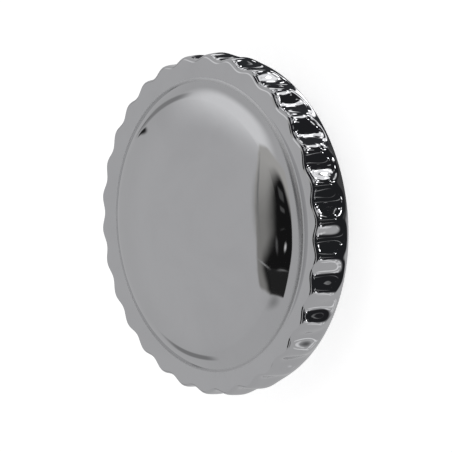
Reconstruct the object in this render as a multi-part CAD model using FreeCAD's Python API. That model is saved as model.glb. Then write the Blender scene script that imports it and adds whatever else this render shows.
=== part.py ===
import FreeCAD, Part
import math
import os

# Oil filler cap: a chromed pressed shell with a domed face and a fluted skirt. Its hem is rolled
# under a pressed pan, which carries the sealing ring and a sprung bayonet strap on a centre rivet.
# Millimetres, +Z up with the dome up, the axis on Z and the hem's underside on Z = 0.

# Pressed shell: fluted skirt and hem
sheet = 0.7
flute_count = 30
edge_radius = 35.0
edge_land = 1.5
edge_round = 1.1
edge_scallop = 0.45
flute_depth = 0.65
flute_bulge = 0.3
flute_runout = 25.0
skirt_height = 10.6
hem_draw = 0.1
hem_round = 3.4
hem_lip = 0.9

# Pressed shell: face, from the rim's crest in to the dome
rim_width = 4.2
crest_round = 2.5
wall_slope = 12.0
valley_depth = 0.45
valley_round = 1.0
foot_round = 1.2
shoulder_slope = 40.0
shoulder_round = 10.5
dome_edge_slope = 15.2

# Pan under the shell
pan_sheet = 0.8
pan_rim_fit = 0.1
pan_bend = 0.6
pan_ease = 0.2
boss_drop = 1.2

# Sealing ring
gasket_width = 3.85
gasket_height = 2.5
gasket_ease = 0.4
gasket_fit = 0.15
gasket_gap = 0.4

# Bayonet strap
strap_sheet = 1.2
strap_width = 14.0
strap_bend = 0.8
strap_corner = 1.5
leg_start = 15.0
leg_run = 2.6
ear_drop = 2.6
ear_inset = 0.4
ear_width = 12.0

# Centre rivet, washer and leaf spring
shank_width = 5.0
shank_fit = 0.06
neck_radius = 3.6
neck_fit = 0.05
rivet_top_radius = 5.5
rivet_top_height = 1.0
rivet_foot_radius = 5.0
rivet_foot_height = 1.2
rivet_chamfer = 0.4
washer_radius = 6.5
washer_sheet = 0.6
spring_rise = 2.3
spring_sheet = 0.45
spring_inset = 2.0
spring_width = 12.0
spring_fit = 0.03
hole_fit = 0.2

# Heights and radii that follow from the sizes above
valley_height = skirt_height - valley_depth
pan_top = valley_height - sheet
pan_ceiling = pan_top - pan_sheet
boss_base = pan_ceiling - boss_drop
strap_base = boss_base - strap_sheet
spring_base = strap_base - spring_rise
washer_base = spring_base - washer_sheet
rivet_base = washer_base - rivet_foot_height
crest_edge_radius = edge_radius - edge_land
valley_radius = edge_radius - rim_width
hem_radius = edge_radius - hem_draw
hem_bend_radius = hem_radius - hem_round
pan_wall_radius = hem_bend_radius - hem_lip
gasket_outer_radius = pan_wall_radius - pan_sheet - gasket_gap
gasket_inner_radius = gasket_outer_radius - gasket_width
boss_radius = gasket_inner_radius - gasket_fit
ear_reach = boss_radius - ear_inset
hole_radius = shank_width / math.sqrt(2) + hole_fit

AXIS = FreeCAD.Vector(0, 0, 1)
CENTRE = FreeCAD.Vector(0, 0, 0)


def at(radius, height):
    """A point of a half section, in the XZ plane."""
    return FreeCAD.Vector(radius, 0, height)


def line(start, end):
    return Part.LineSegment(start, end).toShape()


def arc(centre, radius, start_degrees, end_degrees):
    """An arc of a half section, between two directions from its centre."""
    points = []
    for degrees in (start_degrees, (start_degrees + end_degrees) / 2, end_degrees):
        turn = math.radians(degrees)
        points.append(centre + at(radius * math.cos(turn), radius * math.sin(turn)))
    return Part.Arc(*points).toShape()


def outline(corners):
    """A closed wire in the XZ plane. Each corner is (x, z, rounding)."""
    count = len(corners)
    spots = [at(x, z) for x, z, rounding in corners]
    arrivals = []
    departures = []
    edges = []
    for i in range(count):
        rounding = corners[i][2]
        back = spots[i - 1] - spots[i]
        ahead = spots[(i + 1) % count] - spots[i]
        back.normalize()
        ahead.normalize()
        half_angle = back.getAngle(ahead) / 2
        setback = rounding / math.tan(half_angle)
        arrivals.append(spots[i] + back * setback)
        departures.append(spots[i] + ahead * setback)
        if rounding > 0:
            inward = back + ahead
            inward.normalize()
            middle = spots[i] + inward * (rounding / math.sin(half_angle) - rounding)
            edges.append(Part.Arc(arrivals[i], middle, departures[i]).toShape())
    for i in range(count):
        edges.append(line(departures[i - 1], arrivals[i]))
    return Part.Wire(Part.__sortEdges__(edges))


def turned(corners):
    """A solid of revolution from the corners of its half section."""
    return Part.Face(outline(corners)).revolve(CENTRE, AXIS, 360)


def turned_skin(edges):
    """The faces that an open half section sweeps round the axis."""
    return Part.Wire(edges).revolve(CENTRE, AXIS, 360).Faces


def face_edges():
    """The face's half section, outside and inside, from the rim's crest in to the axis.

    The outside is a chain of arcs and one straight wall, each tangent to the next. The inside
    keeps the sheet's thickness, with a flat seat under the valley that bears on the pan.
    """
    wall = math.radians(wall_slope)
    foot = math.radians(shoulder_slope)
    dome = math.radians(dome_edge_slope)
    toward_wall = at(math.sin(wall), -math.cos(wall))
    toward_foot = at(-math.sin(foot), -math.cos(foot))
    toward_dome = at(math.sin(dome), math.cos(dome))
    valley_centre = at(valley_radius, valley_height + valley_round)
    wall_low = valley_centre + toward_wall * valley_round
    wall_rise = valley_depth - (valley_round + crest_round) * (1 - math.cos(wall))
    wall_high = wall_low + at(wall_rise / math.tan(wall), wall_rise)
    crest_centre = wall_high + toward_wall * crest_round
    foot_centre = at(valley_radius, valley_height + foot_round)
    foot_end = foot_centre + toward_foot * foot_round
    shoulder_centre = foot_end + toward_foot * shoulder_round
    dome_edge = shoulder_centre + toward_dome * shoulder_round
    dome_radius = dome_edge.x / math.sin(dome)
    dome_centre = dome_edge - toward_dome * dome_radius
    outside = [
        line(at(crest_edge_radius, skirt_height), at(crest_centre.x, skirt_height)),
        arc(crest_centre, crest_round, 90, 90 + wall_slope),
        line(wall_high, wall_low),
        arc(valley_centre, valley_round, wall_slope - 90, -90),
        arc(foot_centre, foot_round, -90, -90 - shoulder_slope),
        arc(shoulder_centre, shoulder_round, 90 - shoulder_slope, 90 - dome_edge_slope),
        arc(dome_centre, dome_radius, 90 - dome_edge_slope, 90),
    ]
    under_dome_edge = dome_edge - toward_dome * sheet
    seat_inner = at(foot_end.x, pan_top)
    seat_outer = at(wall_low.x, pan_top)
    under_crest = at(wall_high.x + sheet * math.sin(wall), skirt_height - sheet)
    under_edge = at(crest_edge_radius - sheet / 2, skirt_height - sheet)
    inside = [
        line(under_edge, under_crest),
        line(under_crest, seat_outer),
        line(seat_outer, seat_inner),
        line(seat_inner, under_dome_edge),
        arc(dome_centre, dome_radius - sheet, 90 - dome_edge_slope, 90),
    ]
    return outside, inside


def fluted_skin(stations, degree):
    """One face round the axis from a net of poles, with a wave for each flute.

    Each station is (radius, height, wave depth). The first and the last of a skin have no wave, so
    it ends in circles and joins what is turned. Poles stand out by a set factor, because a cubic
    curve runs a little inside its poles.
    """
    poles_per_flute = 6
    count = flute_count * poles_per_flute
    step = 2 * math.pi / count
    ring_factor = 3 / (2 + math.cos(step))
    wave_factor = 3 / (2 + math.cos(2 * math.pi / poles_per_flute))
    net = []
    for i in range(count):
        turn = (i - 1) * step
        row = []
        for radius, height, depth in stations:
            reach = radius * ring_factor + depth * wave_factor * math.cos(flute_count * turn)
            row.append(FreeCAD.Vector(reach * math.cos(turn), reach * math.sin(turn), height))
        net.append(row)
    spans = len(stations) - degree
    round_knots = [float(k) for k in range(count + 1)]
    down_knots = [float(k) for k in range(spans + 1)]
    down_repeats = [degree + 1] + [1] * (spans - 1) + [degree + 1]
    skin = Part.BSplineSurface()
    skin.buildFromPolesMultsKnots(
        net, [1] * (count + 1), down_repeats, round_knots, down_knots, True, False, 3, degree
    )
    return skin.toShape()


def skirt_outside():
    """The skirt's outside: over the rim's rounded edge, down the flutes and into the hem's round."""
    fluted = skirt_height - hem_round
    runout = math.radians(flute_runout)
    end = at(hem_bend_radius + hem_round * math.cos(runout), hem_round - hem_round * math.sin(runout))
    above = end + at(math.sin(runout), math.cos(runout)) * (hem_round / 4)
    return [fluted_skin([
        (crest_edge_radius, skirt_height, 0.0),
        (edge_radius - edge_round, skirt_height, edge_scallop),
        (edge_radius - edge_round / 2, skirt_height, edge_scallop),
        (edge_radius, skirt_height - edge_round / 2, edge_scallop),
        (edge_radius + flute_bulge / 2, hem_round + fluted * 0.6, (edge_scallop + flute_depth) / 2),
        (hem_radius + flute_bulge, hem_round + fluted / 5, flute_depth),
        (above.x, above.z, 0.0),
        (end.x, end.z, 0.0),
    ], 3)]


def skirt_inside():
    """The skirt's inside, a sheet's thickness in. The pan hides it, so it is straight bands."""
    top = skirt_height - sheet
    middle = (skirt_height + hem_round) / 2
    stations = [
        (crest_edge_radius - sheet / 2, top, 0.0),
        (edge_radius - sheet - edge_round / 8, top - edge_round / 2, edge_scallop * 3 / 4),
        ((edge_radius + hem_radius) / 2 + flute_bulge * 2 / 3 - sheet, middle, flute_depth * 3 / 4),
        (hem_radius - sheet, hem_round, 0.0),
    ]
    return [fluted_skin([upper, lower], 1) for upper, lower in zip(stations, stations[1:])]


def outer_shell():
    """The pressed shell, one closed skin of dome, rim, fluted skirt and rolled hem."""
    outside, inside = face_edges()
    hem_centre = at(hem_bend_radius, hem_round)
    inner_round = hem_round - sheet
    bend_middle = hem_centre + at(inner_round / math.sqrt(2), -inner_round / math.sqrt(2))
    hem = [
        arc(hem_centre, hem_round, -flute_runout, -90),
        line(at(hem_bend_radius, 0), at(pan_wall_radius, 0)),
        line(at(pan_wall_radius, 0), at(pan_wall_radius, sheet)),
        line(at(pan_wall_radius, sheet), at(hem_bend_radius, sheet)),
        line(at(hem_bend_radius, sheet), bend_middle),
        line(bend_middle, at(hem_radius - sheet, hem_round)),
    ]
    faces = turned_skin(outside) + skirt_outside() + turned_skin(hem) + skirt_inside() + turned_skin(inside)
    skin = Part.makeCompound(faces)
    skin.sewShape(0.001)
    return Part.makeSolid(skin.Shells[0])


def inner_pan():
    """Pressed pan: rim in the hem, wall, ceiling over the sealing ring and a boss that centres it."""
    rim_radius = hem_bend_radius - pan_rim_fit
    rim_top = sheet + pan_sheet
    wall_inside = pan_wall_radius - pan_sheet
    boss_inside = boss_radius - pan_sheet
    boss_top = boss_base + pan_sheet
    hole = neck_radius + neck_fit
    return turned([
        (rim_radius, sheet, 0),
        (wall_inside, sheet, pan_bend),
        (wall_inside, pan_ceiling, 0),
        (boss_radius, pan_ceiling, 0),
        (boss_radius, boss_base, pan_bend),
        (hole, boss_base, 0),
        (hole, boss_top, 0),
        (boss_inside, boss_top, 0),
        (boss_inside, pan_top - pan_ease, 0),
        (boss_inside + pan_ease, pan_top, 0),
        (pan_wall_radius - pan_ease, pan_top, 0),
        (pan_wall_radius, pan_top - pan_ease, 0),
        (pan_wall_radius, rim_top, 0),
        (rim_radius, rim_top, 0),
    ])


def sealing_gasket():
    """Flat rubber ring under the pan's ceiling, round the boss, with its lower corners eased."""
    base = pan_ceiling - gasket_height
    return turned([
        (gasket_inner_radius, base + gasket_ease, 0),
        (gasket_inner_radius + gasket_ease, base, 0),
        (gasket_outer_radius - gasket_ease, base, 0),
        (gasket_outer_radius, base + gasket_ease, 0),
        (gasket_outer_radius, pan_ceiling, 0),
        (gasket_inner_radius, pan_ceiling, 0),
    ])


def bayonet_strap():
    """Bar with two cranked legs and round ended ears, and a square hole that keys it to the shank."""
    leg_end = leg_start + leg_run
    centre_top = boss_base
    ear_top = centre_top - ear_drop
    ear_base = ear_top - strap_sheet
    reach = ear_reach + strap_sheet
    half = math.atan2(ear_drop, leg_run) / 2
    lean = strap_sheet * math.tan(half)
    outer_bend = strap_bend + strap_sheet
    profile = outline([
        (-leg_start, centre_top, outer_bend),
        (leg_start, centre_top, outer_bend),
        (leg_end, ear_top, strap_bend),
        (reach, ear_top, 0),
        (reach, ear_base, 0),
        (leg_end - lean, ear_base, outer_bend),
        (leg_start - lean, strap_base, strap_bend),
        (-leg_start + lean, strap_base, strap_bend),
        (-leg_end + lean, ear_base, outer_bend),
        (-reach, ear_base, 0),
        (-reach, ear_top, 0),
        (-leg_end, ear_top, strap_bend),
    ])
    bar = Part.Face(profile).extrude(FreeCAD.Vector(0, strap_width, 0))
    bar.translate(FreeCAD.Vector(0, -strap_width / 2, 0))
    depth = centre_top - ear_base
    disc = Part.makeCylinder(ear_reach, depth, at(0, ear_base))
    centre_corner = FreeCAD.Vector(-leg_start, -strap_width / 2, ear_base)
    centre = Part.makeBox(2 * leg_start, strap_width, depth, centre_corner)
    ears = Part.makeBox(2 * reach, ear_width, depth, FreeCAD.Vector(-reach, -ear_width / 2, ear_base))
    plan = disc.common(centre.fuse(ears).removeSplitter())
    upright = [edge for edge in plan.Edges if abs(edge.tangentAt(edge.FirstParameter).z) > 0.99]
    plan = plan.makeFillet(strap_corner, [edge for edge in upright if abs(edge.Vertexes[0].X) > leg_end])
    strap = bar.common(plan)
    side = shank_width + 2 * shank_fit
    keyhole = Part.makeBox(side, side, depth, FreeCAD.Vector(-side / 2, -side / 2, ear_base))
    return strap.cut(keyhole)


def centre_rivet():
    """Rivet with a head on the pan, a round neck, a square shank for the strap and a set-over foot."""
    boss_top = boss_base + pan_sheet
    top = turned([
        (0, boss_base, 0),
        (neck_radius, boss_base, 0),
        (neck_radius, boss_top, 0),
        (rivet_top_radius, boss_top, 0),
        (rivet_top_radius, boss_top + rivet_top_height - rivet_chamfer, 0),
        (rivet_top_radius - rivet_chamfer, boss_top + rivet_top_height, 0),
        (0, boss_top + rivet_top_height, 0),
    ])
    foot = turned([
        (0, rivet_base, 0),
        (rivet_foot_radius - rivet_chamfer, rivet_base, 0),
        (rivet_foot_radius, rivet_base + rivet_chamfer, 0),
        (rivet_foot_radius, washer_base, 0),
        (0, washer_base, 0),
    ])
    corner = FreeCAD.Vector(-shank_width / 2, -shank_width / 2, washer_base)
    shank = Part.makeBox(shank_width, shank_width, boss_base - washer_base, corner)
    return top.fuse([shank, foot]).removeSplitter()


def rivet_washer():
    return turned([
        (hole_radius, washer_base, 0),
        (washer_radius, washer_base, 0),
        (washer_radius, spring_base, 0),
        (hole_radius, spring_base, 0),
    ])


def leaf_spring():
    """Bowed leaf between washer and strap: the crown rests on the washer, the ends push upwards."""
    bow = spring_rise - spring_sheet - spring_fit
    half = leg_start - spring_inset
    radius = (half ** 2 + bow ** 2) / (2 * bow)
    reach = math.degrees(math.asin(half / radius))
    centre = at(0, spring_base + radius)
    inner_radius = radius - spring_sheet
    outer = arc(centre, radius, -90 - reach, -90 + reach)
    inner = arc(centre, inner_radius, -90 + reach, -90 - reach)
    ends = [
        line(outer.valueAt(outer.LastParameter), inner.valueAt(inner.FirstParameter)),
        line(inner.valueAt(inner.LastParameter), outer.valueAt(outer.FirstParameter)),
    ]
    section = Part.Face(Part.Wire([outer, ends[0], inner, ends[1]]))
    leaf = section.extrude(FreeCAD.Vector(0, spring_width, 0))
    leaf.translate(FreeCAD.Vector(0, -spring_width / 2, 0))
    corner = FreeCAD.Vector(-half, -spring_width / 2, spring_base)
    plan = Part.makeBox(2 * half, spring_width, spring_rise, corner)
    upright = [edge for edge in plan.Edges if abs(edge.tangentAt(edge.FirstParameter).z) > 0.99]
    plan = plan.makeFillet(spring_width / 4, upright)
    hole = Part.makeCylinder(hole_radius, spring_rise, at(0, spring_base))
    return leaf.common(plan).cut(hole)


NODES = {
    "outer_shell": outer_shell,
    "inner_pan": inner_pan,
    "sealing_gasket": sealing_gasket,
    "bayonet_strap": bayonet_strap,
    "leaf_spring": leaf_spring,
    "rivet_washer": rivet_washer,
    "centre_rivet": centre_rivet,
}

os.makedirs("parts", exist_ok=True)
for node, make in NODES.items():
    shape = make()
    shape.exportStep("parts/" + node + ".step")
    box = shape.BoundBox
    print(node, "solids", len(shape.Solids), "valid", shape.isValid(),
          "z", round(box.ZMin, 2), "to", round(box.ZMax, 2))
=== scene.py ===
# %% [markdown]
# # A chromed oil filler cap
# The part comes from its CAD source as seven solids: a pressed shell, a pan that is rolled into its
# hem, a sealing ring, a bayonet strap, a leaf spring, a washer and a rivet. This lesson dresses them.
# The shell is worked out again here on a much finer grid, because bright chrome is a mirror and shows
# every facet. The leaf gets a stand-in, a joined copy of its mesh. The other pieces keep their solids'
# meshes.

import bmesh
import bpy
import numpy as np
from mathutils import Matrix, Vector


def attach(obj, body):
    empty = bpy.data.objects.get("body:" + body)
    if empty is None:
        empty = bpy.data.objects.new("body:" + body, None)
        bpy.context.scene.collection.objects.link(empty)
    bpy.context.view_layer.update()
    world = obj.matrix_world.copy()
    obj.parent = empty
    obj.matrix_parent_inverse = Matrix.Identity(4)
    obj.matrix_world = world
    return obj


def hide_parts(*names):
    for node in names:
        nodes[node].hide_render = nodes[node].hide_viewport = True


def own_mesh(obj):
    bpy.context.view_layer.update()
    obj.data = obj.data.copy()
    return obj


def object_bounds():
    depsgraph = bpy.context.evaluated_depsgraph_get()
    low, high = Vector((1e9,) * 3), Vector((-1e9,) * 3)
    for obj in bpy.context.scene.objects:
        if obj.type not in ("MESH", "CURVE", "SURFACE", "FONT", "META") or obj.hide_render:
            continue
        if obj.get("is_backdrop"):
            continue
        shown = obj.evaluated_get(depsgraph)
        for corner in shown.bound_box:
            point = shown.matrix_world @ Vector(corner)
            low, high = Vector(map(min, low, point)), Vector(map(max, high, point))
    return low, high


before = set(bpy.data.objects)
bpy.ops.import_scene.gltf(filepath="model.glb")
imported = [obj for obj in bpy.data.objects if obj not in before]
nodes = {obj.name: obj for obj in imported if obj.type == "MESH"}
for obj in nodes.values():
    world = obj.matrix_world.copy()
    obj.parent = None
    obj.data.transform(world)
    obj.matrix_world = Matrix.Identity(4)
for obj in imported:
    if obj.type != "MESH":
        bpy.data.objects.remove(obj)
bounds_of_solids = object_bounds()
print("solids:", ", ".join(sorted(nodes)))

# %% [markdown]
# ## The sizes of the pressing
# A pressing like this is drawn from one round blank, so one section says nearly everything: a dome, a
# small foot, a ring valley, the rim's crest, and the skirt down to a hem that is rolled under the pan.
# The section is kept as rows of three numbers: radius, height and how deep the flutes are there. It
# could be drawn as a curve and spun, but the flutes need the third number, so it is worked out as an
# array. The sizes are the ones of the solid, in millimetres.

# %% Sizes of the pressing
SHEET = 0.7
FLUTES = 30
EDGE_RADIUS = 35.0
EDGE_LAND = 1.5
EDGE_ROUND = 1.1
EDGE_SCALLOP = 0.45
FLUTE_DEPTH = 0.65
FLUTE_BULGE = 0.3
FLUTE_RUNOUT = np.radians(25.0)
SKIRT_HEIGHT = 10.6
HEM_RADIUS = 34.9
HEM_ROUND = 3.4
HEM_LIP_RADIUS = 30.6
HEM_LIP_BEVEL = 0.1
VALLEY_RADIUS = 30.8
VALLEY_DEPTH = 0.45
VALLEY_ROUND = 1.0
FOOT_ROUND = 1.2
CREST_ROUND = 2.5
WALL_SLOPE = np.radians(12.0)
SHOULDER_SLOPE = np.radians(40.0)
SHOULDER_ROUND = 10.5
DOME_EDGE_SLOPE = np.radians(15.2)
QUARTER = np.pi / 2
MM = 0.001
print("edge:", 2 * EDGE_RADIUS, "mm across,", FLUTES, "flutes, skirt:", SKIRT_HEIGHT, "mm high")

# %% [markdown]
# ## The face
# The face is a row of arcs that touch. Each one starts where the last one ends and runs the same way
# there, because a mirror shows a kink as a hard line. A spline through a few points would be shorter
# to write, but it would bulge between them, and the ring valley would lose its crisp foot.

# %% Arcs from the axis to the rim
def arc_rows(centre, radius, start, end, count):
    """Points on an arc: the centre plus the radius times (cosine, sine) of an even run of angles."""
    angle = np.linspace(start, end, count)
    return np.stack([centre[0] + radius * np.cos(angle), centre[1] + radius * np.sin(angle)], axis=1)


def face_rows():
    """The face from the axis outwards: a flat dome arc, a tighter shoulder arc, a hollow foot arc, a
    hollow valley arc, a straight wall, a round crest and a flat rim. Each arc's centre lies on the
    line through the last joint, square to the slope there, so the slopes agree. The last number of
    each piece is its count of points."""
    across = np.array([np.sin(WALL_SLOPE), -np.cos(WALL_SLOPE)])
    down = np.array([-np.sin(SHOULDER_SLOPE), -np.cos(SHOULDER_SLOPE)])
    up = np.array([np.sin(DOME_EDGE_SLOPE), np.cos(DOME_EDGE_SLOPE)])
    valley = SKIRT_HEIGHT - VALLEY_DEPTH
    valley_centre = np.array([VALLEY_RADIUS, valley + VALLEY_ROUND])
    wall_low = valley_centre + across * VALLEY_ROUND
    rise = VALLEY_DEPTH - (VALLEY_ROUND + CREST_ROUND) * (1 - np.cos(WALL_SLOPE))
    wall_high = wall_low + np.array([rise / np.tan(WALL_SLOPE), rise])
    crest_centre = wall_high + across * CREST_ROUND
    foot_centre = np.array([VALLEY_RADIUS, valley + FOOT_ROUND])
    foot_end = foot_centre + down * FOOT_ROUND
    shoulder_centre = foot_end + down * SHOULDER_ROUND
    dome_edge = shoulder_centre + up * SHOULDER_ROUND
    dome_radius = dome_edge[0] / np.sin(DOME_EDGE_SLOPE)
    dome_centre = dome_edge - up * dome_radius
    rim_start = [crest_centre[0], SKIRT_HEIGHT]
    rim_end = [EDGE_RADIUS - EDGE_LAND, SKIRT_HEIGHT]
    pieces = [
        arc_rows(dome_centre, dome_radius, QUARTER, QUARTER - DOME_EDGE_SLOPE, 22),
        arc_rows(shoulder_centre, SHOULDER_ROUND, QUARTER - DOME_EDGE_SLOPE, QUARTER - SHOULDER_SLOPE, 16),
        arc_rows(foot_centre, FOOT_ROUND, -QUARTER - SHOULDER_SLOPE, -QUARTER, 10),
        arc_rows(valley_centre, VALLEY_ROUND, -QUARTER, WALL_SLOPE - QUARTER, 9),
        np.linspace(wall_low, wall_high, 4),
        arc_rows(crest_centre, CREST_ROUND, QUARTER + WALL_SLOPE, QUARTER, 12),
        np.linspace(rim_start, rim_end, 3),
    ]
    return np.concatenate([pieces[0]] + [piece[1:] for piece in pieces[1:]])


face = face_rows()
dome_rise = float(face[0, 1] - face[:, 1].min())
print("face rows:", len(face), "dome above the valley:", round(dome_rise, 2), "mm")

# %% [markdown]
# ## The skirt
# Down the side the flutes have to grow and fade along with the shape, so radius, height and flute
# depth are pulled along together by eight stations. That is a cubic spline, and the solid's surface
# is made the same way. Flutes cut with thirty rods would have sharp rims, which pressed sheet hasn't.

# %% Spline from the scalloped edge to the hem
SKIRT_POINTS = 56


def spline_rows(stations, count):
    """A cubic spline pulled along by a few stations: each point is a blend of four of them, with
    weights from the usual recurrence on evenly spaced knots. It starts and ends on its stations."""
    spots = np.asarray(stations, float)
    spans = len(spots) - 3
    knots = np.concatenate([[0, 0, 0], np.arange(spans + 1), [spans] * 3]).astype(float)
    where = np.linspace(0, spans - 1e-9, count)
    weight = ((where[:, None] >= knots[:-1]) & (where[:, None] < knots[1:])).astype(float)
    for degree in (1, 2, 3):
        near = knots[degree:-1] - knots[:-degree - 1]
        far = knots[degree + 1:] - knots[1:-degree]
        rising = (where[:, None] - knots[:-degree - 1]) / np.where(near > 0, near, 1) * (near > 0)
        falling = (knots[degree + 1:] - where[:, None]) / np.where(far > 0, far, 1) * (far > 0)
        weight = rising * weight[:, :-1] + falling * weight[:, 1:]
    return weight @ spots


def skirt_rows():
    """The outside of the skirt: over the rounded scalloped edge, down the flutes, out into the hem."""
    fluted = SKIRT_HEIGHT - HEM_ROUND
    bend = HEM_RADIUS - HEM_ROUND
    end = np.array([bend + HEM_ROUND * np.cos(FLUTE_RUNOUT), HEM_ROUND - HEM_ROUND * np.sin(FLUTE_RUNOUT)])
    above = end + np.array([np.sin(FLUTE_RUNOUT), np.cos(FLUTE_RUNOUT)]) * HEM_ROUND / 4
    return spline_rows([
        (EDGE_RADIUS - EDGE_LAND, SKIRT_HEIGHT, 0.0),
        (EDGE_RADIUS - EDGE_ROUND, SKIRT_HEIGHT, EDGE_SCALLOP),
        (EDGE_RADIUS - EDGE_ROUND / 2, SKIRT_HEIGHT, EDGE_SCALLOP),
        (EDGE_RADIUS, SKIRT_HEIGHT - EDGE_ROUND / 2, EDGE_SCALLOP),
        (EDGE_RADIUS + FLUTE_BULGE / 2, HEM_ROUND + fluted * 0.6, (EDGE_SCALLOP + FLUTE_DEPTH) / 2),
        (HEM_RADIUS + FLUTE_BULGE, HEM_ROUND + fluted / 5, FLUTE_DEPTH),
        (above[0], above[1], 0.0),
        (end[0], end[1], 0.0),
    ], SKIRT_POINTS)


outside = skirt_rows()
print("skirt rows:", len(outside), "deepest flute:", round(float(outside[:, 2].max()), 2), "mm")

# %% [markdown]
# ## The closed section
# The hem rolls under, ends in a lip with a small bevel, and the section runs back inside at one sheet's
# distance. The pan hides the inside, so every third or fourth row of the outside is enough there.

# %% Close the section
INSIDE_FLUTES = 0.8


def even(rows):
    """The same rows with a flute depth of nought."""
    return np.column_stack([rows, np.zeros(len(rows))])


def shell_rows(face, outside):
    """The whole closed section: outside from the axis to the hem, under its lip, and back inside."""
    bend = HEM_RADIUS - HEM_ROUND
    hem = arc_rows((bend, HEM_ROUND), HEM_ROUND, -FLUTE_RUNOUT, -QUARTER, 10)
    lip = np.array([
        [HEM_LIP_RADIUS + HEM_LIP_BEVEL, 0],
        [HEM_LIP_RADIUS, HEM_LIP_BEVEL],
        [HEM_LIP_RADIUS, SHEET - HEM_LIP_BEVEL],
        [HEM_LIP_RADIUS + HEM_LIP_BEVEL, SHEET],
        [bend, SHEET],
    ])
    hem_inside = arc_rows((bend, HEM_ROUND), HEM_ROUND - SHEET, -QUARTER, -FLUTE_RUNOUT, 5)
    skirt_inside = outside[::-1][::4][:9].copy()
    skirt_inside[:, 0] -= SHEET
    skirt_inside[:, 2] *= INSIDE_FLUTES
    face_inside = face[::-1][::3][:-1].copy()
    face_inside[:, 1] -= SHEET
    face_inside = face_inside[face_inside[:, 0] < EDGE_RADIUS - EDGE_ROUND - SHEET]
    return np.concatenate([even(face), outside[1:], even(hem)[1:], even(lip), even(hem_inside)[1:],
                           skirt_inside[1:], even(face_inside)])


section = shell_rows(face, outside)
print("section rows:", len(section), "height of the dome:", round(float(section[:, 1].max()), 2), "mm")

# %% [markdown]
# ## The shell as a mesh
# The section is carried round the axis. At each angle the radius gains the flute depth times the
# cosine of thirty times the angle, which gives thirty even waves. The first and the last row lie on
# the axis, so each becomes one point with a fan of triangles, and the skin has no seam.

# %% Carry the section round
POINTS_PER_FLUTE = 19


def round_skin(name, rows, around, waves):
    """x = (r + d cos(waves a)) cos a, y = the same with sin a, z = the row's height, as one array."""
    angle = np.arange(around) * (2 * np.pi / around)
    ring = rows[1:-1]
    radius = ring[:, 0, None] + ring[:, 2, None] * np.cos(waves * angle)
    height = np.repeat(ring[:, 1, None], around, axis=1)
    body = np.stack([radius * np.cos(angle), radius * np.sin(angle), height], axis=-1).reshape(-1, 3)
    poles = np.array([[0, 0, rows[0, 1]], [0, 0, rows[-1, 1]]])
    points = np.concatenate([body, poles]) * MM
    count = len(ring)
    here = np.arange(around)
    after = (here + 1) % around
    start = np.arange(count - 1)[:, None] * around
    quads = np.stack([start + here, start + around + here, start + around + after, start + after], axis=-1)
    top = np.column_stack([np.full(around, len(body)), here, after])
    last = (count - 1) * around
    base = np.column_stack([np.full(around, len(body) + 1), last + after, last + here])
    mesh = bpy.data.meshes.new(name)
    mesh.from_pydata(points.tolist(), [], quads.reshape(-1, 4).tolist() + top.tolist() + base.tolist())
    mesh.polygons.foreach_set("use_smooth", np.ones(len(mesh.polygons), bool))
    piece = bpy.data.objects.new(name, mesh)
    bpy.context.scene.collection.objects.link(piece)
    return piece


shell = round_skin("chrome_pressing", section, FLUTES * POINTS_PER_FLUTE, FLUTES)
print("shell triangles:", sum(len(polygon.vertices) - 2 for polygon in shell.data.polygons))

# %% [markdown]
# ## Where the shell is rubbed, and where it isn't polished
# Fingers hold the cap by its flutes, so scratches gather there, while a polishing wheel never reaches
# the bottom of the narrow ring valley. Both places follow from radius and height, so they are worked
# out for every point and kept as attributes that the finish can read.

# %% Mark the flutes and the groove
RUB_START = 34.9
RUB_BLEND = 0.8
GROOVE_RADIUS = VALLEY_RADIUS - 0.5
GROOVE_WIDTH = 0.42

spots = np.zeros(len(shell.data.vertices) * 3, np.float32)
shell.data.vertices.foreach_get("co", spots)
spots = spots.reshape(-1, 3) / MM
reach = np.hypot(spots[:, 0], spots[:, 1])
rub = np.clip((reach - RUB_START) / RUB_BLEND, 0, 1).astype(np.float32)
shell.data.attributes.new("rub", "FLOAT", "POINT").data.foreach_set("value", rub)
on_face = spots[:, 2] > SKIRT_HEIGHT - 2 * VALLEY_DEPTH
groove = (np.exp(-((reach - GROOVE_RADIUS) / GROOVE_WIDTH) ** 2) * on_face).astype(np.float32)
shell.data.attributes.new("groove", "FLOAT", "POINT").data.foreach_set("value", groove)
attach(shell, "cap")
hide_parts("outer_shell")
print("rubbed share of the shell:", round(float((rub > 0.2).mean()), 3))

# %% [markdown]
# ## Effects that several finishes share
# Handling leaves the same marks on every bright part: cloudy smears where it was wiped, and fine
# straight scratches. Each effect is a node group, built once, and every finish sets its own amounts.
# The groups put out masks only. A few small helpers keep the node trees short.

# %% Node helpers
NUMBER = "NodeSocketFloat"
VECTOR = "NodeSocketVector"


def new_group(name, inputs):
    """An empty shader group that puts out a mask. Each input is (name, kind, value)."""
    group = bpy.data.node_groups.new(name, "ShaderNodeTree")
    for title, kind, value in inputs:
        socket = group.interface.new_socket(title, in_out="INPUT", socket_type=kind)
        if value is not None:
            socket.default_value = value
    group.interface.new_socket("Mask", in_out="OUTPUT", socket_type=NUMBER)
    return group, group.nodes.new("NodeGroupInput").outputs, group.nodes.new("NodeGroupOutput").inputs


def add(tree, kind, settings=(), **values):
    """A node with its settings and its inputs. An input is named, or is no0, no1 and so on by its
    place. Its value is a number, a colour or the socket that feeds it."""
    node = tree.nodes.new(kind)
    for key, value in dict(settings).items():
        setattr(node, key, value)
    for key, value in values.items():
        name = key.replace("_", " ")
        socket = node.inputs[int(name[2:])] if name.startswith("no") else node.inputs[name]
        if isinstance(value, bpy.types.NodeSocket):
            tree.links.new(value, socket)
        else:
            socket.default_value = value
    return node


def mask_of(tree, group, **values):
    """The mask that a shared effect gives with these values."""
    return add(tree, "ShaderNodeGroup", {"node_tree": group}, **values).outputs["Mask"]


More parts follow.
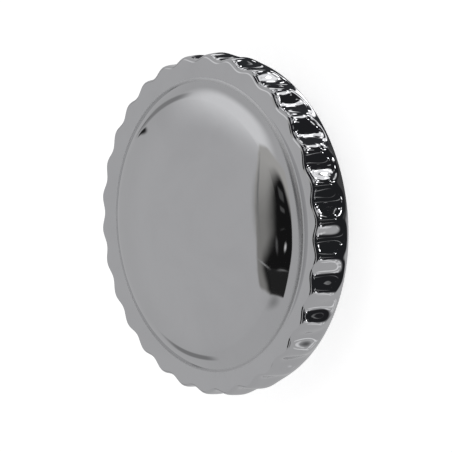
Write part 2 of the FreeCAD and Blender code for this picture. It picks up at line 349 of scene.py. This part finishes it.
def noise(tree, vector, **values):
    """The plain value of a noise texture."""
    return add(tree, "ShaderNodeTexNoise", Vector=vector, **values).outputs["Fac"]


def maths(tree, operation, first, second=0.0, third=0.0):
    """One Math node, given back as its output."""
    node = add(tree, "ShaderNodeMath", {"operation": operation}, no0=first, no1=second, no2=third)
    return node.outputs[0]


def fade(tree, value, low, high, start=0.0, end=1.0):
    """A smooth step: start below low, end above high, an S curve between."""
    node = add(tree, "ShaderNodeMapRange", {"interpolation_type": "SMOOTHSTEP"}, Value=value)
    node.inputs["From Min"].default_value = low
    node.inputs["From Max"].default_value = high
    node.inputs["To Min"].default_value = start
    node.inputs["To Max"].default_value = end
    return node.outputs["Result"]


# %% [markdown]
# ## Smears and scratches
# A smear is soft cloudy noise, cut off higher or lower for how much of the part it covers. Scratches
# are noise that is drawn out along one way, with only its peaks kept. Both use the part's own
# coordinates, so they stay in place when it moves.

# %% Build both effects
smears, given, result = new_group(
    "handling_smears", [("Vector", VECTOR, None), ("Size", NUMBER, 60.0), ("Cover", NUMBER, 0.5)])
cloud = noise(smears, given["Vector"], Scale=given["Size"], Detail=5.0, Roughness=0.62, Distortion=0.6)
limit = maths(smears, "SUBTRACT", 0.95, maths(smears, "MULTIPLY", given["Cover"], 0.6))
over = maths(smears, "SUBTRACT", cloud, limit)
smears.links.new(fade(smears, over, -0.25, 0.15), result["Mask"])

scratches, given, result = new_group(
    "fine_scratches", [("Vector", VECTOR, None), ("Size", NUMBER, 400.0), ("Stretch", NUMBER, 12.0)])
split = add(scratches, "ShaderNodeSeparateXYZ", Vector=given["Vector"]).outputs
long_way = maths(scratches, "DIVIDE", split["X"], given["Stretch"])
stretched = add(scratches, "ShaderNodeCombineXYZ", X=long_way, Y=split["Y"], Z=split["Z"]).outputs["Vector"]
streak = noise(scratches, stretched, Scale=given["Size"], Detail=3.0, Roughness=0.7)
scratches.links.new(fade(scratches, streak, 0.56, 0.72), result["Mask"])
print("shared effects:", smears.name, "and", scratches.name)

# %% [markdown]
# ## The chrome plate
# Bright chrome is a metal with hardly any roughness. What tells a real one from a perfect mirror is
# slight: plated sheet is never quite flat, so reflections wobble, smears dull it in places, and the
# groove stays unpolished. The waves and scratches are given as depths in metres.

# %% Bright chrome
CLEAN_CHROME = (0.63, 0.632, 0.64)
WIPED_CHROME = (0.60, 0.602, 0.61)
POLISHED = 0.018
SMEAR_DULLS = 0.035
GROOVE_DULLS = 0.4
SCRATCH_DULLS = 0.06
PLATE_WAVES = 0.000012
CHROME_SCRATCH = 0.000002


def new_finish(name):
    """A material with its node tree cleared, its Object coordinates, and a bare metal shader."""
    finish = bpy.data.materials.new(name)
    finish.use_nodes = True
    tree = finish.node_tree
    tree.nodes.clear()
    place = tree.nodes.new("ShaderNodeTexCoord").outputs["Object"]
    shader = tree.nodes.new("ShaderNodeBsdfPrincipled")
    shader.inputs["Metallic"].default_value = 1.0
    output = tree.nodes.new("ShaderNodeOutputMaterial")
    tree.links.new(shader.outputs["BSDF"], output.inputs["Surface"])
    return finish, tree, place, shader


def tint(tree, mask, plain, marked):
    """A colour that goes from plain to marked with the mask."""
    node = add(tree, "ShaderNodeMix", {"data_type": "RGBA"})
    tree.links.new(mask, node.inputs["Factor"])
    node.inputs["A"].default_value = (*plain, 1)
    node.inputs["B"].default_value = (*marked, 1)
    return node.outputs["Result"]


def relief(tree, height, depth, shader, before=None):
    """A Bump node of that depth in metres, put on the shader's normal."""
    bump = add(tree, "ShaderNodeBump", Height=height, Distance=depth)
    if before is not None:
        tree.links.new(before, bump.inputs["Normal"])
    tree.links.new(bump.outputs["Normal"], shader.inputs["Normal"])
    return bump.outputs["Normal"]


chrome, tree, place, shader = new_finish("bright_chrome_plate")
wiped = mask_of(tree, smears, Vector=place, Size=55.0, Cover=0.55)
scratched = mask_of(tree, scratches, Vector=place, Size=900.0, Stretch=10.0)
fingers = add(tree, "ShaderNodeAttribute", {"attribute_name": "rub"}).outputs["Fac"]
unpolished = add(tree, "ShaderNodeAttribute", {"attribute_name": "groove"}).outputs["Fac"]
worn = maths(tree, "MULTIPLY", scratched, maths(tree, "MULTIPLY_ADD", fingers, 0.5, 0.12))
tree.links.new(tint(tree, wiped, CLEAN_CHROME, WIPED_CHROME), shader.inputs["Base Color"])
dulled = maths(tree, "MULTIPLY_ADD", wiped, SMEAR_DULLS, POLISHED)
dulled = maths(tree, "MULTIPLY_ADD", unpolished, GROOVE_DULLS, dulled)
dulled = maths(tree, "MULTIPLY_ADD", worn, SCRATCH_DULLS, dulled)
tree.links.new(dulled, shader.inputs["Roughness"])
wobble = noise(tree, place, Scale=160.0, Detail=2.0, Roughness=0.4)
wavy = relief(tree, wobble, PLATE_WAVES, shader)
relief(tree, worn, CHROME_SCRATCH, shader, wavy)
shell.data.materials.append(chrome)
print("chrome plate on", shell.name, "with a roughness of", POLISHED, "where it is clean")

# %% [markdown]
# ## The leaf spring
# The leaf is the one piece that changes its shape: when the strap is pulled out, its bow is pressed
# flatter against the washer. A copy of its mesh stands in for the solid here.
# The solid's triangles are loose, so they are joined.

# %% Copy the leaf and join its loose triangles
JOIN_WITHIN = 0.001 * MM
SHARP_FROM = np.radians(30)

leaf_mesh = nodes["leaf_spring"].data.copy()
loose = bmesh.new()
loose.from_mesh(leaf_mesh)
bmesh.ops.remove_doubles(loose, verts=loose.verts, dist=JOIN_WITHIN)
loose.to_mesh(leaf_mesh)
loose.free()
leaf_mesh.polygons.foreach_set("use_smooth", np.ones(len(leaf_mesh.polygons), bool))
leaf_mesh.set_sharp_from_angle(angle=SHARP_FROM)
leaf = bpy.data.objects.new("bowed_leaf", leaf_mesh)
bpy.context.scene.collection.objects.link(leaf)
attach(leaf, "cap")
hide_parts("leaf_spring")
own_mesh(leaf)

# %% [markdown]
# ## The zinc plate under the shell
# The pan, strap, washer and rivet are zinc plated, which is a duller metal than chrome with a fine
# crystalline bloom. The pan is passivated to a faint yellow. Scratches cut through to bright metal, so
# they take roughness away instead of adding it.

# %% Zinc plate
ZINC_BLOOM = 0.000012
METAL_SCRATCH = 0.000004


def zinc_finish(name, plain, marked, roughness, size):
    """Zinc plate: a fine bloom in tone and roughness, smears, and short scratches to bright metal."""
    finish, tree, place, shader = new_finish(name)
    cells = add(tree, "ShaderNodeTexVoronoi", {"feature": "SMOOTH_F1"}, Vector=place, Scale=size)
    bloom = cells.outputs["Distance"]
    cloud = mask_of(tree, smears, Vector=place, Size=90.0, Cover=0.8)
    lines = mask_of(tree, scratches, Vector=place, Size=1500.0, Stretch=14.0)
    mixed = maths(tree, "MULTIPLY_ADD", bloom, 0.5, maths(tree, "MULTIPLY", cloud, 0.5))
    tree.links.new(tint(tree, mixed, plain, marked), shader.inputs["Base Color"])
    dull = maths(tree, "MULTIPLY_ADD", mixed, 0.22, roughness)
    dull = maths(tree, "SUBTRACT", dull, maths(tree, "MULTIPLY", lines, 0.08))
    tree.links.new(dull, shader.inputs["Roughness"])
    skin = relief(tree, bloom, ZINC_BLOOM, shader)
    relief(tree, lines, METAL_SCRATCH, shader, skin)
    return finish


zinc_pan = zinc_finish("zinc_plate_pan", (0.60, 0.57, 0.47), (0.47, 0.45, 0.38), 0.26, 900.0)
zinc_strap = zinc_finish("zinc_plate_strap", (0.58, 0.58, 0.57), (0.44, 0.44, 0.44), 0.24, 1100.0)
zinc_rivet = zinc_finish("zinc_plate_rivet", (0.64, 0.64, 0.63), (0.48, 0.48, 0.48), 0.20, 1400.0)
print("zinc plates:", zinc_pan.name, zinc_strap.name, zinc_rivet.name)

# %% [markdown]
# ## Blued steel and rubber
# The leaf is hardened and blued in oil, which drifts between blue and brown. The ring is black rubber,
# dusty in places, with the fine grain of its mould. Then every piece gets its finish.

# %% Leaf, ring and the rest
RUBBER_GRAIN = 0.00003

blued, tree, place, shader = new_finish("oil_blued_spring")
drift = noise(tree, place, Scale=120.0, Detail=4.0, Roughness=0.6)
lines = mask_of(tree, scratches, Vector=place, Size=1800.0, Stretch=16.0)
tree.links.new(tint(tree, drift, (0.10, 0.12, 0.19), (0.24, 0.21, 0.20)), shader.inputs["Base Color"])
tree.links.new(maths(tree, "MULTIPLY_ADD", drift, 0.2, 0.22), shader.inputs["Roughness"])
relief(tree, lines, METAL_SCRATCH, shader)

rubber, tree, place, shader = new_finish("black_sealing_rubber")
shader.inputs["Metallic"].default_value = 0.0
grain = noise(tree, place, Scale=2600.0, Detail=4.0, Roughness=0.65)
dust = mask_of(tree, smears, Vector=place, Size=140.0, Cover=0.6)
tree.links.new(tint(tree, dust, (0.016, 0.016, 0.017), (0.055, 0.054, 0.052)), shader.inputs["Base Color"])
tree.links.new(maths(tree, "MULTIPLY_ADD", dust, 0.2, 0.55), shader.inputs["Roughness"])
relief(tree, grain, RUBBER_GRAIN, shader)

for mesh, finish in [
    (nodes["inner_pan"].data, zinc_pan),
    (nodes["bayonet_strap"].data, zinc_strap),
    (nodes["rivet_washer"].data, zinc_rivet),
    (nodes["centre_rivet"].data, zinc_rivet),
    (nodes["sealing_gasket"].data, rubber),
    (leaf_mesh, blued),
]:
    mesh.materials.clear()
    mesh.materials.append(finish)
print("finishes:", ", ".join(sorted(finish.name for finish in bpy.data.materials if finish.users)))

# %% [markdown]
# ## The camera
# The photograph looks at the cap from about half a metre, 51 degrees off its axis, with the axis to
# the left in the picture. Three small turns describe that view: about the picture's upright, about its
# level line and in its plane. The cap lies on its hem here, so the camera looks down on it.

# %% Place the camera
DISTANCE = 560.0
PIVOT_HEIGHT = 9.8
PIXELS_PER_MM = 4.8198
PIVOT_PIXEL = (207.02, 225.26)
IMAGE = 452
FILM_WIDTH = 36
NEAREST = 0.01
YAW, PITCH, ROLL = -0.8872, 0.0216, 0.0628


def view_axes(yaw, pitch, roll):
    """Rows: the picture's right, up and towards the viewer, in the cap's own directions."""
    turn_y = np.array([[np.cos(yaw), 0, np.sin(yaw)], [0, 1, 0], [-np.sin(yaw), 0, np.cos(yaw)]])
    turn_x = np.array([[1, 0, 0], [0, np.cos(pitch), -np.sin(pitch)], [0, np.sin(pitch), np.cos(pitch)]])
    turn_z = np.array([[np.cos(roll), -np.sin(roll), 0], [np.sin(roll), np.cos(roll), 0], [0, 0, 1]])
    return turn_z @ turn_x @ turn_y


axes = view_axes(YAW, PITCH, ROLL)
pixels = PIXELS_PER_MM * DISTANCE
off_centre = ((PIVOT_PIXEL[0] - IMAGE / 2) / pixels, (IMAGE / 2 - PIVOT_PIXEL[1]) / pixels)
aim = Vector((*off_centre, -1)).normalized()
swing = aim.rotation_difference(Vector((0, 0, -1))).to_matrix()
facing = Matrix(axes.T.tolist()) @ swing
position = (np.array([0, 0, PIVOT_HEIGHT]) + DISTANCE * axes[2]) * MM
camera_data = bpy.data.cameras.new("photograph_view")
camera_data.lens = pixels * FILM_WIDTH / IMAGE
camera_data.clip_start = NEAREST
camera = bpy.data.objects.new("photograph_view", camera_data)
camera.matrix_world = Matrix.Translation(position.tolist()) @ facing.to_4x4()
bpy.context.scene.collection.objects.link(camera)
bpy.context.scene.camera = camera
print("camera", [round(float(v), 3) for v in position], "lens", round(camera_data.lens, 1), "mm")

# %% [markdown]
# ## The studio
# Chrome shows nothing but its surroundings, so the light is the picture. The cap is in a white light
# tent. To the left the tent is open, and the dark behind the camera shows through; to the right it
# ends, and there the room is dark with lamps and bright things in it. All of that is the world's
# colour, by direction: azimuth from the camera's line, turning right, and elevation, in degrees. Real
# sheets and lamps could stand there, but a colour by direction has no noise and is quick to render.

# %% Directions
world = bpy.data.worlds.new("light_tent")
bpy.context.scene.world = world
world.use_nodes = True
tree = world.node_tree
tree.nodes.clear()
ray = tree.nodes.new("ShaderNodeTexCoord").outputs["Generated"]


def along(direction):
    """How far the ray goes along one of the picture's directions."""
    return add(tree, "ShaderNodeVectorMath", {"operation": "DOT_PRODUCT"}, no0=ray,
               no1=tuple(float(v) for v in direction)).outputs["Value"]


side, rise, front = along(axes[0]), along(axes[1]), along(axes[2])
azimuth = maths(tree, "MULTIPLY", maths(tree, "ARCTAN2", side, front), 180 / np.pi)
elevation = maths(tree, "MULTIPLY", maths(tree, "ARCSINE", rise), 180 / np.pi)
print("world colour by direction in", world.name)

# %% [markdown]
# ## Masks by direction
# Two groups give the masks. One is a rounded patch: an ellipse that grows squarer with a power. The
# other is a straight edge, and several of them, multiplied, make an opening with any number of sides.
# A softness gives each one the blur of a lamp behind cloth or of an edge that isn't in focus.

# %% Patches and edges
def turned(group, given, degrees):
    """The group's azimuth and elevation along and across a line turned by that many degrees."""
    turn = maths(group, "MULTIPLY", degrees, np.pi / 180)
    cosine, sine = maths(group, "COSINE", turn), maths(group, "SINE", turn)
    level = maths(group, "MULTIPLY_ADD", given["Azimuth"], cosine,
                  maths(group, "MULTIPLY", given["Elevation"], sine))
    upright = maths(group, "SUBTRACT", maths(group, "MULTIPLY", given["Elevation"], cosine),
                    maths(group, "MULTIPLY", given["Azimuth"], sine))
    return level, upright


patch, given, result = new_group("patch_of_light", [
    ("Azimuth", NUMBER, 0.0), ("Elevation", NUMBER, 0.0), ("Width", NUMBER, 10.0), ("Height", NUMBER, 10.0),
    ("Tilt", NUMBER, 0.0), ("Soft", NUMBER, 0.2), ("Squareness", NUMBER, 4.0)])
level, upright = turned(patch, given, given["Tilt"])
level = maths(patch, "ABSOLUTE", maths(patch, "DIVIDE", level, given["Width"]))
upright = maths(patch, "ABSOLUTE", maths(patch, "DIVIDE", upright, given["Height"]))
power = given["Squareness"]
total = maths(patch, "ADD", maths(patch, "POWER", level, power), maths(patch, "POWER", upright, power))
away = maths(patch, "POWER", total, maths(patch, "DIVIDE", 1.0, power))
depth = maths(patch, "DIVIDE", maths(patch, "SUBTRACT", 1.0, away), given["Soft"])
patch.links.new(fade(patch, depth, 0.0, 1.0), result["Mask"])

edge, given, result = new_group("edge_of_opening", [
    ("Azimuth", NUMBER, 0.0), ("Elevation", NUMBER, 0.0), ("Turn", NUMBER, 0.0), ("Soft", NUMBER, 2.0)])
inwards = turned(edge, given, given["Turn"])[0]
edge.links.new(fade(edge, maths(edge, "DIVIDE", inwards, given["Soft"]), -0.5, 0.5), result["Mask"])
print("masks:", patch.name, "and", edge.name)

# %% [markdown]
# ## Laying one thing over another
# The surroundings are laid up like paper: first the cloth, then each nearer or darker thing over it.
# Every sheet has a light, where 1 is paper white, and a cast that tints it a little.

# %% Lay patches and cut openings
CLOTH = (1.0, 1.0, 1.015)
GREY = (1.0, 1.0, 1.0)
WARM = (1.0, 0.985, 0.95)
COOL = (0.95, 1.0, 1.1)


def spread(colour, mask, light, cast=CLOTH):
    """The colour so far, with a light of that strength and cast where the mask is."""
    node = add(tree, "ShaderNodeMix", {"data_type": "RGBA"})
    tree.links.new(mask, node.inputs["Factor"])
    tree.links.new(colour, node.inputs["A"])
    node.inputs["B"].default_value = (light * cast[0], light * cast[1], light * cast[2], 1)
    return node.outputs["Result"]


def lay(colour, centre, size, light, tilt=0.0, soft=0.5, squareness=2.0, cast=CLOTH):
    """Lays a rounded patch over the colour so far. Centre and half size are in degrees."""
    mask = mask_of(tree, patch, Width=size[0], Height=size[1], Tilt=tilt, Soft=soft, Squareness=squareness,
                   Azimuth=maths(tree, "SUBTRACT", azimuth, centre[0]),
                   Elevation=maths(tree, "SUBTRACT", elevation, centre[1]))
    return spread(colour, mask, light, cast)


def cut(colour, edges, light, cast=CLOTH):
    """Lays a many-sided patch. Each edge is (azimuth, elevation, turn, softness): a point on it and
    the way to its inside, where 0 is to the right, 180 to the left and -90 down."""
    mask = None
    for start, height, turn, soft in edges:
        one = mask_of(tree, edge, Turn=turn, Soft=soft,
                      Azimuth=maths(tree, "SUBTRACT", azimuth, start),
                      Elevation=maths(tree, "SUBTRACT", elevation, height))
        mask = one if mask is None else maths(tree, "MULTIPLY", mask, one)
    return spread(colour, mask, light, cast)


tent = add(tree, "ShaderNodeRGB")
tent.outputs[0].default_value = (0.505, 0.505, 0.512, 1)
colour = tent.outputs[0]
print("plain cloth:", [round(v, 3) for v in tent.outputs[0].default_value[:3]])

# %% [markdown]
# ## The tent
# The cloth is evenly lit but for a lamp that stands behind it, high on the left. A round of plain cloth
# covers most of the lamp, so only a bright crescent is left over the dome's shoulder. Two folds lie in
# shade, and they give the dull strokes on the dome's edge. A thin dark pole stands by the upper one.

# %% Cloth, lamp and folds
# The lamp behind the cloth, and the plain cloth that covers its lower part.
colour = lay(colour, (-83, 24), (38, 19), 0.87, soft=0.6, squareness=2.5)
colour = lay(colour, (-97, -5.5), (34, 24.5), 0.535, soft=0.3)
# The upper and the lower fold.
colour = lay(colour, (-122, 18), (15.5, 5.4), 0.28, tilt=28, soft=0.6, squareness=4)
colour = lay(colour, (-122, -28.5), (15, 5.4), 0.25, tilt=-37, soft=0.55, squareness=4)
# The pole and its foot.
colour = lay(colour, (-133, 12.6), (6, 0.9), 0.06, tilt=35, soft=0.6)
colour = lay(colour, (-125.5, 9.8), (5, 1.0), 0.02, tilt=2)
# A weak shade on the cloth under the opening.
colour = lay(colour, (-65, -29), (19, 5.0), 0.31, tilt=-31, soft=1.0)
print("tent, lamp, two folds and a pole laid")

# %% [markdown]
# ## The opening to the left
# Its border is the cloth's cut edge, which is seen at a slant and darkens downwards. Inside it is
# black, with the dim floor below a bright bent line, and a few faint things in it: a lit spot, a
# short upright bar, two squares and a thin shelf.

# %% Border, black inside, and what shows there
# All parts of the opening share its far side and its foot, which are softer or harder for the black.
NEAR_SIDE = (-76.7, 4, -1, 0.7)
FAR_FOOT = (-40.3, -20, 155, 2)
CLOTH_ENDS = [(-38.6, 0, 180, 2), FAR_FOOT, (-78, -18.5, 61, 1.2)]
FAR_SIDE = (-38.6, 0, 180, 1.5)
BLACK_ENDS = [FAR_SIDE, FAR_FOOT, (-78, -18.5, 61, 1.6)]

# The slanted border: its soft outer shade, then the whole of it, then its darker middle and foot.
colour = lay(colour, (-76.7, -2), (1.7, 11), 0.4, soft=1.0, cast=GREY)
colour = cut(colour, [NEAR_SIDE, (-75.9, 10.8, -40, 1.5), (-66, 17.8, -62, 2.5), (-55, 19.5, -95, 4),
                      *CLOTH_ENDS], 0.49, WARM)
colour = cut(colour, [NEAR_SIDE, (-60, 3, -90, 14), *CLOTH_ENDS], 0.29, WARM)
colour = cut(colour, [(-77.6, -10.5, -12.5, 0.8), (-78.9, -14, 0, 0.8), (-60, -4, -90, 6), *CLOTH_ENDS],
             0.27, WARM)
# The dark line along its outer edge.
colour = lay(colour, (-75.9, 1), (0.55, 12), 0.22, soft=1.0, squareness=3, cast=GREY)
# The black inside, and its wider foot.
colour = cut(colour, [(-71.8, 0, -3, 4.6), (-65, 7.3, -65, 7), (-52, 12, -100, 7), (-42.5, 4, -145, 7),
                      *BLACK_ENDS], 0.01, GREY)
colour = cut(colour, [(-74.3, -10.6, -45, 3.4), (-60, -7, -90, 4), (-76.6, -16, 0, 2.4), *BLACK_ENDS],
             0.01, GREY)
# The dim floor of the dark, and the bright line along it with its bent end.
colour = cut(colour, [(-74.2, -14.6, -107.7, 0.8), (-75.6, -16, 0, 2.4), FAR_SIDE, FAR_FOOT,
                      (-78, -18.7, 61, 1.2)], 0.022, GREY)
colour = lay(colour, (-57.6, -19.8), (18.2, 0.45), 0.22, tilt=-17.6, soft=0.9, squareness=3, cast=GREY)
colour = lay(colour, (-76.2, -13.2), (3.0, 0.35), 0.36, tilt=-37, soft=0.9, squareness=3, cast=GREY)
# The lit spot, the upright bar, the two squares and the shelf.
colour = lay(colour, (-54.5, -12.6), (4.5, 2.0), 0.75, soft=0.9, cast=GREY)
colour = lay(colour, (-70.8, -9.8), (0.7, 2.6), 0.12, soft=0.9, cast=GREY)
colour = lay(colour, (-56.5, 3.6), (6.5, 2.4), 0.08, squareness=5, cast=GREY)
colour = lay(colour, (-58, -1.2), (6.5, 0.9), 0.09, squareness=5, cast=GREY)
colour = lay(colour, (-61, -6.7), (8, 0.35), 0.05, soft=0.9, squareness=5, cast=GREY)
print("opening from azimuth", NEAR_SIDE[0], "to", FAR_SIDE[0], "degrees")

# %% [markdown]
# ## The dark room to the right
# The flutes show the room as dark cells with sharp bright rims. Two dim bands run round its walls, a
# bright table edge lies low, and to the far right a lit wall stands in two dark corners. Bright things
# are scattered with noise that is let through more easily far above and below the level line, and
# fourteen small lamps give the sparkle.

# %% Room, bright things and lamps
LAMP = 5.0
LIT_THING = 1.2

# The dark as a whole, its two wall bands and the table's edge.
colour = cut(colour, [(-24, 0, 14, 5), (60, -35, 100, 10), (128, 0, 180, 8), (60, 72, -90, 14)], 0.02, COOL)
colour = lay(colour, (60, 8), (30, 1.3), 0.5, tilt=-2, soft=0.8, squareness=4)
colour = lay(colour, (60, -15), (30, 1.3), 0.4, tilt=3, soft=0.8, squareness=4)
colour = lay(colour, (100, -40), (32, 2.6), 1.0, tilt=8, soft=0.9, squareness=3)
# The two dark corners at the far right and the lit wall between them.
colour = cut(colour, [(118, 0, 0, 4), (128, 23, -62, 5), (140, 3, 90, 6)], 0.07)
colour = cut(colour, [(110, 0, 0, 4), (128, 28, 60, 6)], 0.035, COOL)
colour = lay(colour, (155, 24), (17, 4.0), 2.5, tilt=-36, soft=0.6, squareness=2.5)

# Bright things: noise above a limit that falls away from the level line, kept out of the tent.
things = noise(tree, ray, Scale=4.6, Detail=1.5, Roughness=0.5, Distortion=0.7)
off_level = maths(tree, "ABSOLUTE", maths(tree, "ADD", elevation, 3.0))
limit = fade(tree, off_level, 10.0, 36.0, 0.74, 0.51)
lit_up = fade(tree, maths(tree, "SUBTRACT", things, limit), -0.03, 0.08)
far_right = fade(tree, azimuth, 118.0, 136.0)
low_right = maths(tree, "MULTIPLY", far_right, fade(tree, elevation, 2.0, 16.0, 1.0, 0.0))
in_room = maths(tree, "MULTIPLY", fade(tree, azimuth, 18.0, 34.0), fade(tree, elevation, -45.0, -25.0))
in_room = maths(tree, "SUBTRACT", in_room, maths(tree, "MULTIPLY", in_room, low_right))
colour = spread(colour, maths(tree, "MULTIPLY", lit_up, in_room), LIT_THING)

# Lamps, each as its direction and its half size.
lamps = [
    ((64, 33), (4, 3.2)), ((56, 19), (5, 3)), ((104, 22), (6, 2.2)), ((74, 41), (3, 2)),
    ((92, 30), (2.5, 2)), ((118, 52), (4, 2)), ((84, 54), (5, 1.8)), ((100, 48), (2.5, 2.5)),
    ((132, 44), (3, 3)), ((146, 58), (5, 2)), ((152, 40), (3, 2)), ((128, 34), (2, 2)),
    ((86, 8), (1.5, 2.5)), ((62, -27), (3, 2)),
]
for centre, size in lamps:
    colour = lay(colour, centre, size, LAMP)
print("dark room with", len(lamps), "lamps")

# %% [markdown]
# ## What the camera sees behind the cap
# The photograph's background is plain white. So the tent and the room are for reflections only, and a
# ray that comes straight from the camera gets white.

# %% White background
seen = tree.nodes.new("ShaderNodeLightPath").outputs["Is Camera Ray"]
shown = add(tree, "ShaderNodeMix", {"data_type": "RGBA"})
tree.links.new(seen, shown.inputs["Factor"])
tree.links.new(colour, shown.inputs["A"])
shown.inputs["B"].default_value = (1, 1, 1, 1)
background = add(tree, "ShaderNodeBackground", Color=shown.outputs["Result"], Strength=1.0)
tree.links.new(background.outputs[0], tree.nodes.new("ShaderNodeOutputWorld").inputs["Surface"])
print("nodes in the world:", len(tree.nodes))

# %% [markdown]
# ## The floor
# The photograph's table is blown out to white. The floor is a pale matt sheet that glows a little, so
# only a faint contact shadow is left on it. Reflected rays pass through it to the tent, and a camera
# below looks through it too, so the underside of the cap can be looked at.

# %% Lay the floor
FLOOR_HALF = 1.5
FLOOR_HEIGHT = -0.00002
FLOOR_GLOW = 0.78

corners = [(x * FLOOR_HALF, y * FLOOR_HALF, FLOOR_HEIGHT) for x, y in ((-1, -1), (1, -1), (1, 1), (-1, 1))]
floor_mesh = bpy.data.meshes.new("pale_floor")
floor_mesh.from_pydata(corners, [], [(0, 1, 2, 3)])
floor = bpy.data.objects.new("pale_floor", floor_mesh)
bpy.context.scene.collection.objects.link(floor)
paper = bpy.data.materials.new("pale_paper")
paper.use_nodes = True
tree = paper.node_tree
tree.nodes.clear()
grain = noise(tree, tree.nodes.new("ShaderNodeTexCoord").outputs["Object"], Scale=900.0)
paper_tone = tint(tree, grain, (0.80, 0.80, 0.80), (0.84, 0.84, 0.84))
matt = add(tree, "ShaderNodeBsdfDiffuse", Color=paper_tone)
glow = add(tree, "ShaderNodeEmission", Color=(1, 1, 1, 1), Strength=FLOOR_GLOW)
lit = add(tree, "ShaderNodeAddShader", no0=matt.outputs[0], no1=glow.outputs[0])
through = tree.nodes.new("ShaderNodeBsdfTransparent")
from_above = maths(tree, "SUBTRACT", 1.0, tree.nodes.new("ShaderNodeNewGeometry").outputs["Backfacing"])
shows = maths(tree, "MULTIPLY", tree.nodes.new("ShaderNodeLightPath").outputs["Is Camera Ray"], from_above)
choice = add(tree, "ShaderNodeMixShader", no0=shows, no1=through.outputs[0], no2=lit.outputs[0])
tree.links.new(choice.outputs[0], tree.nodes.new("ShaderNodeOutputMaterial").inputs["Surface"])
floor_mesh.materials.append(paper)
floor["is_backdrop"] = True
bpy.context.scene.view_settings.view_transform = "Standard"
print("floor:", 2 * FLOOR_HALF, "m across")

# %% [markdown]
# ## The size of the shell
# The fine shell has to be as large as the solid it stands for. Both boxes are printed.

# %% Measure and finish
bounds_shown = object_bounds()
for name, (low, high) in {"solids": bounds_of_solids, "shown": bounds_shown}.items():
    print(name, "mm:", [round(v / MM, 2) for v in low], "to", [round(v / MM, 2) for v in high])
